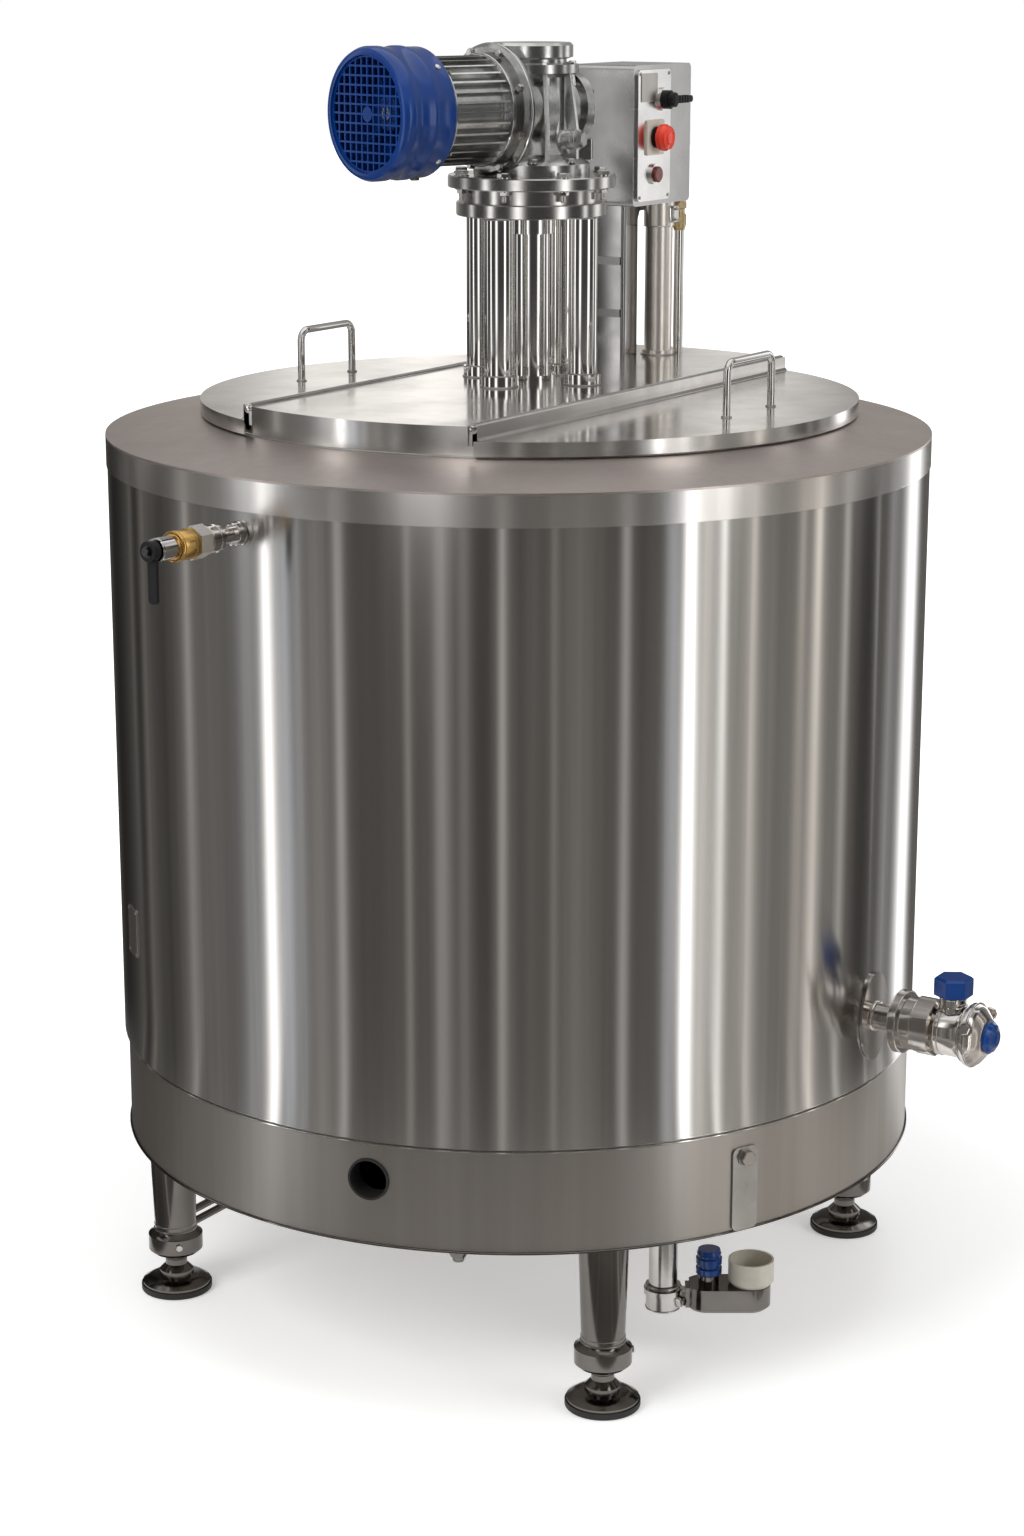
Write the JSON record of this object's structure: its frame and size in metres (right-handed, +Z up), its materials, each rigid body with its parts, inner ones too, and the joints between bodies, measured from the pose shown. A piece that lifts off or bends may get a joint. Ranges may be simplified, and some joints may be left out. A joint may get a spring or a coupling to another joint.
{
  "type": "batch pasteurizer",
  "caption": "Round double-walled batch pasteurizer on adjustable feet, with a bridge, hinged half lids, a geared agitator drive, a control box and product valves.",
  "frame": {"origin": "on the floor, under the middle of the whole machine's outline", "axes": "+X along the bridge towards the control box, +Y across the bridge away from the product outlet, +Z up"},
  "size_m": [1.3672, 1.39, 1.852],
  "materials": {
    "brushed_sheet": "vertical brushed sheet",
    "satin_sheet": "satin sheet, slightly warm",
    "polished_sheet": "fine polished sheet",
    "polished_tube": "polished tube",
    "machined_steel": "machined stainless steel",
    "cast_grey": "bare cast metal, half polished",
    "blue_paint": "gloss blue paint",
    "blue_plastic": "blue plastic",
    "box_steel": "satin steel box",
    "red_plastic": "red plastic",
    "dark_red_plastic": "dark red plastic",
    "beige_plastic": "pale beige plastic",
    "black_plastic": "black plastic",
    "black_rubber": "black rubber",
    "brass": "plain brass"
  },
  "bodies": {
    "vat": {"base_plate": "satin_sheet", "box_lid": "box_steel", "bridge": "polished_sheet", "cable_gland": "brass", "conduit": "polished_tube", "control_box": "box_steel", "control_column": "polished_tube", "deck": "satin_sheet", "drain_body": "machined_steel", "drain_cup": "beige_plastic", "drain_pipe": "machined_steel", "drip_nozzle": "polished_tube", "drive_flange": "machined_steel", "drive_plate": "machined_steel", "estop_plate": "beige_plastic", "fan_cover": "blue_paint", "fan_grille": "blue_paint", "feet": "polished_tube", "foot_pads": "black_rubber", "gear_housing": "cast_grey", "hinge_pins": "polished_tube", "inner_vessel": "brushed_sheet", "leg_ties": "polished_tube", "legs": "polished_tube", "motor": "cast_grey", "motor_adapter": "cast_grey", "neck_ring": "polished_sheet", "outlet_body": "machined_steel", "outlet_cap": "blue_plastic", "outlet_clamp": "machined_steel", "outlet_pad": "machined_steel", "outlet_pipe": "machined_steel", "outlet_union": "machined_steel", "rim_collar": "brushed_sheet", "shaft_housing": "polished_tube", "shell": "brushed_sheet", "skirt": "satin_sheet", "skirt_bracket": "satin_sheet", "skirt_port": "polished_tube", "tap_body": "brass", "tap_boss": "machined_steel", "tap_nose": "machined_steel", "tap_nut": "machined_steel", "tower_posts": "polished_tube", "wiring_riser": "polished_tube"},
    "left_lid": {"lid_left": "polished_sheet", "lid_handle_left": "polished_tube"},
    "right_lid": {"lid_right": "polished_sheet", "lid_handle_right": "polished_tube"},
    "agitator_rotor": {"agitator": "polished_tube"},
    "fan_rotor": {"fan": "blue_paint"},
    "stop_head": {"estop_button": "red_plastic"},
    "pilot_head": {"pilot_button": "dark_red_plastic"},
    "selector_head": {"selector": "black_plastic"},
    "outlet_handwheel": {"outlet_knob": "blue_plastic"},
    "tap_handle": {"tap_lever": "black_plastic"},
    "drain_handwheel": {"drain_knob": "blue_plastic"}
  },
  "joints": [
    {"name": "left_lid_hinge", "type": "hinge", "parent": "vat", "child": "left_lid", "pos_m": [0.1136, 0.28, 1.366], "axis": [1, 0, 0], "range_deg": [0, 90]},
    {"name": "right_lid_hinge", "type": "hinge", "parent": "vat", "child": "right_lid", "pos_m": [0.1136, -0.09, 1.366], "axis": [-1, 0, 0], "range_deg": [0, 90]},
    {"name": "agitator_spin", "type": "hinge", "parent": "vat", "child": "agitator_rotor", "pos_m": [0.1186, 0.095, 0.9], "axis": [0, 0, 1], "continuous": true},
    {"name": "fan_spin", "type": "hinge", "parent": "vat", "child": "fan_rotor", "pos_m": [-0.11251, 0.17009, 1.76], "axis": [-0.9511, 0.309, 0], "continuous": true},
    {"name": "stop_press", "type": "slide", "parent": "vat", "child": "stop_head", "axis": [0, 1, 0], "range_m": [0, 0.005]},
    {"name": "pilot_press", "type": "slide", "parent": "vat", "child": "pilot_head", "axis": [0, 1, 0], "range_m": [0, 0.0025]},
    {"name": "selector_turn", "type": "hinge", "parent": "vat", "child": "selector_head", "pos_m": [0.4386, 0.0605, 1.761], "axis": [0, -1, 0], "range_deg": [0, 90]},
    {"name": "outlet_knob_turn", "type": "hinge", "parent": "vat", "child": "outlet_handwheel", "pos_m": [0.0836, -0.6265, 0.567], "axis": [0, 0, 1], "range_deg": [0, 90]},
    {"name": "tap_lever_turn", "type": "hinge", "parent": "vat", "child": "tap_handle", "pos_m": [-0.67224, 0.17444, 1.231], "axis": [-0.9945, 0.1045, 0], "range_deg": [0, 90]},
    {"name": "drain_knob_turn", "type": "hinge", "parent": "vat", "child": "drain_handwheel", "pos_m": [-0.06757, -0.32628, 0.14], "axis": [0, 0, 1], "range_deg": [0, 90]}
  ]
}
